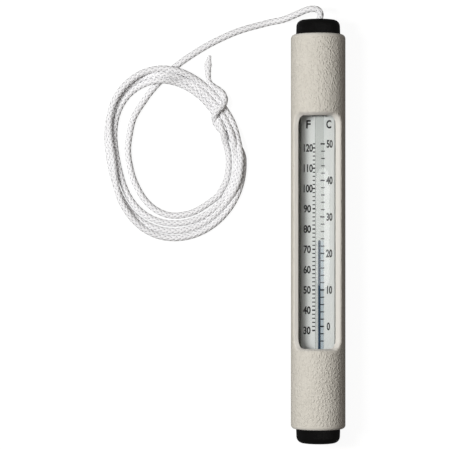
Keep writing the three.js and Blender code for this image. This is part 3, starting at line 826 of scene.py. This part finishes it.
def print_text(words, x, y, height, narrow, align, weight=FIGURE_WEIGHT):
    """Printed figures or a letter, as tall as height, with the middle of their height at y."""
    text = bpy.data.curves.new("figures", "FONT")
    text.body = words
    text.size = 1
    text.align_x = align
    text.resolution_u = 3
    text.offset = weight
    text.space_character = FIGURE_SPACING
    holder = bpy.data.objects.new("figures", text)
    bpy.context.scene.collection.objects.link(holder)
    bpy.context.view_layer.update()
    mesh = bpy.data.meshes.new_from_object(holder)
    bpy.data.objects.remove(holder)
    low = min(v.co.y for v in mesh.vertices)
    tall = max(v.co.y for v in mesh.vertices) - low
    size = height / tall
    mesh.transform(Matrix.Translation((x, y - height / 2, ink_bottom))
                   @ Matrix.Diagonal((size * narrow, size, 1, 1)) @ Matrix.Translation((0, -low, 0)))
    shape = bmesh.new()
    shape.from_mesh(mesh)
    bmesh.ops.remove_doubles(shape, verts=shape.verts, dist=TINIER)
    raised = bmesh.ops.extrude_face_region(shape, geom=shape.faces[:], use_keep_orig=True)
    move_raised(shape, raised, (0, 0, INK_THICKNESS))
    bmesh.ops.recalc_face_normals(shape, faces=shape.faces)
    shape.to_mesh(mesh)
    shape.free()
    printing.from_mesh(mesh)
    bpy.data.meshes.remove(mesh)


def height_of(fahrenheit):
    """Where that temperature is along the card."""
    return LOWEST_F_Y + (fahrenheit - LOWEST_F) * DEGREE_F


for fahrenheit in range(LOWEST_F, HIGHEST_F + 1, LINE_EVERY):
    bold = fahrenheit % BOLD_EVERY == 0
    print_line(F_LINE_FROM, F_LINE_TO, height_of(fahrenheit), BOLD_WIDTH if bold else LINE_WIDTH)
    if bold:
        left, narrow = F_FIGURES_LEFT, F_NARROW
        if fahrenheit >= 100:
            left, narrow = F_HUNDREDS_LEFT, F_HUNDREDS_NARROW
        print_text(str(fahrenheit), left, height_of(fahrenheit), FIGURE_HEIGHT, narrow, "LEFT")
for celsius in range(LOWEST_C, HIGHEST_C + 1, LINE_EVERY):
    bold = celsius % BOLD_EVERY == 0
    y = height_of(32 + 1.8 * celsius)
    print_line(C_BOLD_FROM if bold else C_LINE_FROM, C_LINE_TO, y, BOLD_WIDTH if bold else LINE_WIDTH)
    if bold:
        left = C_FIGURES_LEFT + (0 if celsius else ZERO_SHIFT)
        print_text(str(celsius), left, y, FIGURE_HEIGHT, C_NARROW, "LEFT")
print_text("F", F_LETTER_X, LETTERS_Y, LETTER_HEIGHT, F_LETTER_NARROW, "CENTER", F_LETTER_WEIGHT)
print_text("C", C_LETTER_X, LETTERS_Y, LETTER_HEIGHT, C_LETTER_NARROW, "CENTER")

for vertex in printing.verts:
    vertex.co.x += SKEW * vertex.co.y
scale_print = finish_piece("scale_print", printing, scale_ink, smooth=False)
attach(scale_print, "housing")

# ---- Capillary stem ----
# A thin glass rod with a hair-fine bore, blown out to a bulb at the lower end and fused shut at the
# top. The liquid wets the bore, so the glass is one solid body round it.

stem_low, stem_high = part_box("stem_glass")
STEM_RADIUS = 1.15 * MM
STEM_NECK = -62 * MM
STEM_TAPER = 2.5 * MM
STEM_BREADTH = 1.7          # the stem is oval, broader than it is deep
STEM_SIDE = 0.55 * MM       # how far it lies to the right of the axis
STEM_TOP_ROUND = STEM_RADIUS * 0.8
BULB_ROUND, NECK_ROUND = 0.9 * MM, 0.8 * MM
BULB_RADIUS = stem_high.x

STEM_INDEX = 1.2  # less than real glass has, so that its edges stay pale
stem_glass = clear_glass_material("stem_glass", (0.84, 0.84, 0.83), STEM_INDEX)
section = [*dome(BULB_RADIUS, stem_low.y + BULB_RADIUS),
           (BULB_RADIUS, STEM_NECK - STEM_TAPER, BULB_ROUND), (STEM_RADIUS, STEM_NECK, NECK_ROUND),
           (STEM_RADIUS, stem_high.y, STEM_TOP_ROUND), (0, stem_high.y, 0)]
rod = turned(section, 0, sides=48, closed=False)
for vertex in rod.verts:
    breadth = STEM_BREADTH if vertex.co.y > STEM_NECK - NECK_ROUND else 1
    vertex.co.x = vertex.co.x * breadth + STEM_SIDE
stem = finish_piece("capillary_stem", rod, stem_glass)
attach(stem, "housing")
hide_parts("stem_glass")

# ---- Spirit ----
# One body of blue-dyed spirit: it fills the bulb and stands in the bore as a thread, whose rounded
# top shows the temperature.

reservoir_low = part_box("spirit_reservoir")[0]
meniscus_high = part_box("spirit_meniscus")[1]
THREAD_RADIUS = 0.54 * MM  # as wide as the stem makes its fine bore look
BULB_WALL = 0.6 * MM
SHOULDER_DROP, FOOT_DROP = 0.4 * MM, 0.5 * MM  # how far it stays below the glass's own bends
SHOULDER_ROUND, FOOT_ROUND = 0.8 * MM, 0.3 * MM
THREAD_TOP_ROUND = THREAD_RADIUS * 0.9
THREAD_RINGS = 60

blue_spirit, tree, surface = new_material("blue_spirit")
base = use_group(tree, mottle, Scale=400.0, Dark=(0.028, 0.060, 0.105), Pale=(0.045, 0.082, 0.135),
                 Gloss=0.4)
dye = put(tree, "BsdfPrincipled", Base_Color=base.outputs["Color"], Roughness=base.outputs["Roughness"],
          Specular_IOR_Level=0.03)  # it wets the glass, so hardly any gloss is left
light_let_by = put(tree, "BsdfTransparent", Color=(0.84, 0.90, 0.97))
dyed = put(tree, "MixShader", Fac=put(tree, "LightPath").outputs["Is Shadow Ray"])
tree.links.new(dye.outputs["BSDF"], dyed.inputs[1])
tree.links.new(light_let_by.outputs["BSDF"], dyed.inputs[2])
tree.links.new(dyed.outputs["Shader"], surface)

full_radius = BULB_RADIUS - BULB_WALL
thread_foot = STEM_NECK - FOOT_DROP
section = [*dome(full_radius, reservoir_low.y + full_radius),
           (full_radius, STEM_NECK - STEM_TAPER - SHOULDER_DROP, SHOULDER_ROUND),
           (THREAD_RADIUS, thread_foot, FOOT_ROUND)]
for i in range(1, THREAD_RINGS):
    section.append((THREAD_RADIUS, thread_foot + (meniscus_high.y - thread_foot) * i / THREAD_RINGS, 0))
section += [(THREAD_RADIUS, meniscus_high.y, THREAD_TOP_ROUND), (0, meniscus_high.y, 0)]
liquid = turned(section, 0, sides=24, closed=False)
bmesh.ops.translate(liquid, verts=liquid.verts, vec=(STEM_SIDE, 0, 0))
spirit = finish_piece("spirit", liquid, blue_spirit)
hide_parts("spirit_reservoir", "spirit_column", "spirit_meniscus")
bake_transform(spirit)

# ---- Stem clips ----
# Two straps of bright spring strip, bent over the stem to hold it against the card. Their edges are
# rounded where the strip was slit.

CLIP_THICKNESS, CLIP_CLEARANCE = 0.35 * MM, 0.3 * MM
CLIP_BEND_ROUND, SLIT_ROUND = 0.3 * MM, 0.08 * MM
CLIP_BENDS = 12

clip_steel, tree, surface = new_material("clip_steel")
base = use_group(tree, mottle, Scale=900.0, Dark=(0.46, 0.47, 0.48), Pale=(0.62, 0.63, 0.64), Gloss=0.28)
place = put(tree, "TexCoord")
drawn_out = put(tree, "Mapping", Vector=place.outputs["Object"])
drawn_out.inputs["Scale"].default_value = (0.1, 1.0, 0.1)
rolled = put(tree, "TexNoise", Vector=drawn_out.outputs["Vector"], Scale=9000.0, Detail=2.0)
bump = put(tree, "Bump", Height=rolled.outputs["Fac"], Distance=0.01 * MM, Strength=0.4)
strip = put(tree, "BsdfPrincipled", Base_Color=base.outputs["Color"],
            Roughness=base.outputs["Roughness"], Metallic=1.0, Normal=bump.outputs["Normal"])
tree.links.new(strip.outputs["BSDF"], surface)

for end in ("upper", "lower"):
    clip_low, clip_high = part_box("stem_clip_" + end)
    strap = bmesh.new()
    middle = STEM_RADIUS + CLIP_CLEARANCE + CLIP_THICKNESS / 2
    foot = clip_low.z + CLIP_THICKNESS / 2
    reach = clip_high.x / STEM_BREADTH
    line = [(reach, foot), (middle, foot)]
    line += [(middle * cos(pi * i / CLIP_BENDS), AXIS.z + middle * sin(pi * i / CLIP_BENDS))
             for i in range(CLIP_BENDS + 1)]
    line += [(-middle, foot), (-reach, foot)]
    points = [strap.verts.new((x * STEM_BREADTH + STEM_SIDE, clip_low.y, z)) for x, z in line]
    for a, b in zip(points, points[1:]):
        strap.edges.new((a, b))
    for corner in (points[1], points[-2]):
        bmesh.ops.bevel(strap, geom=[corner], offset=CLIP_BEND_ROUND, affect="VERTICES", segments=3,
                        profile=0.5, material=-1)
    wide = bmesh.ops.extrude_edge_only(strap, edges=strap.edges[:])
    move_raised(strap, wide, (0, clip_high.y - clip_low.y, 0))
    bmesh.ops.recalc_face_normals(strap, faces=strap.faces)
    clip = finish_piece(f"clip_{end}", strap, clip_steel)
    thick = clip.modifiers.new("thickness", "SOLIDIFY")
    thick.thickness = CLIP_THICKNESS
    thick.offset = 0
    eased = clip.modifiers.new("slit_edges", "BEVEL")
    eased.width = SLIT_ROUND
    eased.segments = 2
    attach(clip, "housing")
    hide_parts("stem_clip_" + end)

# ---- Seat rings ----
# Two soft moulded rings that fill the space between the glass and the sleeve, above and below the
# window. Three small lips round each one press on the sleeve's bore.

RING_LIPS, LIP_RISE, LIP_ROUND = 3, 0.25 * MM, 0.25 * MM
RING_CLEARANCE, RING_ROUND, GROOVE_ROUND = 0.15 * MM, 0.2 * MM, 0.1 * MM
GROOVE_OFFSET = 0.05 * MM
ring_rubber = mottled("ring_rubber", 500.0, (0.58, 0.56, 0.50), (0.70, 0.68, 0.62), 0.62)

for end in ("upper", "lower"):
    ring_low, ring_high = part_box("seat_ring_" + end)
    inside, outside = glass_radius + RING_CLEARANCE, ring_high.x
    section = [(inside, ring_low.y, RING_ROUND)]
    lip = (ring_high.y - ring_low.y) / RING_LIPS
    for i in range(RING_LIPS):
        foot = ring_low.y + i * lip
        section += [(outside - LIP_RISE, foot + GROOVE_OFFSET, GROOVE_ROUND),
                    (outside, foot + lip / 2, LIP_ROUND)]
    section += [(outside - LIP_RISE, ring_high.y, GROOVE_ROUND), (inside, ring_high.y, RING_ROUND)]
    ring = finish_piece(f"ring_{end}", turned(section, 0), ring_rubber)
    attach(ring, "housing")
    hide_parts("seat_ring_" + end)

# ---- Bulb cushion ----
# A wad of soft open foam in the dome of the glass. The bulb is pressed into a dish in its top, so
# its cut edge is pulled in and its surface is full of small cells.

cushion_low, cushion_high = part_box("bulb_cushion")
cushion_foam, tree, surface = new_material("cushion_foam")
base = use_group(tree, mottle, Scale=380.0, Dark=(0.72, 0.69, 0.60), Pale=(0.86, 0.84, 0.78), Gloss=0.9)
place = put(tree, "TexCoord")
cells = put(tree, "TexVoronoi", Vector=place.outputs["Object"], Scale=1500.0)
bump = put(tree, "Bump", Height=cells.outputs["Distance"], Distance=0.3 * MM, Strength=0.8)
foam = put(tree, "BsdfPrincipled", Base_Color=base.outputs["Color"],
           Roughness=0.95, Normal=bump.outputs["Normal"])
tree.links.new(foam.outputs["BSDF"], surface)

LUMP_ROOM = 0.25 * MM              # kept free all round for the lumps of the foam
LUMP_SIZE, LUMP_HEIGHT = 2.2 * MM, 0.35 * MM
DISH_CLEARANCE, FOAM_EDGE = 0.3 * MM, 1.2 * MM
WAD_ROUND, DISH_ROUND, WAD_LIFT, WAD_DROP = 1.3 * MM, 0.9 * MM, 0.1 * MM, 0.3 * MM
wad_radius = cushion_high.x - LUMP_ROOM
dish_radius = BULB_RADIUS + DISH_CLEARANCE
dish_centre = stem_low.y - DISH_CLEARANCE + dish_radius
wad_centre = cushion_low.y + wad_radius + WAD_LIFT
wad_top = cushion_high.y - WAD_DROP
section = [*dome(wad_radius, wad_centre), (wad_radius, wad_top, WAD_ROUND),
           (dish_radius, wad_top, DISH_ROUND),
           *dome(dish_radius, dish_centre, tip_first=False)]
wad = turned(section, 0, sides=64, closed=False)
bmesh.ops.subdivide_edges(wad, edges=[e for e in wad.edges if e.calc_length() > FOAM_EDGE],
                          cuts=1, use_grid_fill=True)
cushion = finish_piece("foam_wad", wad, cushion_foam)
crumple = bpy.data.textures.new("foam_lumps", "CLOUDS")
crumple.noise_scale = LUMP_SIZE
lumps = cushion.modifiers.new("lumps", "DISPLACE")
lumps.texture = crumple
lumps.texture_coords = "LOCAL"
lumps.strength = LUMP_HEIGHT
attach(cushion, "housing")
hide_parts("bulb_cushion")
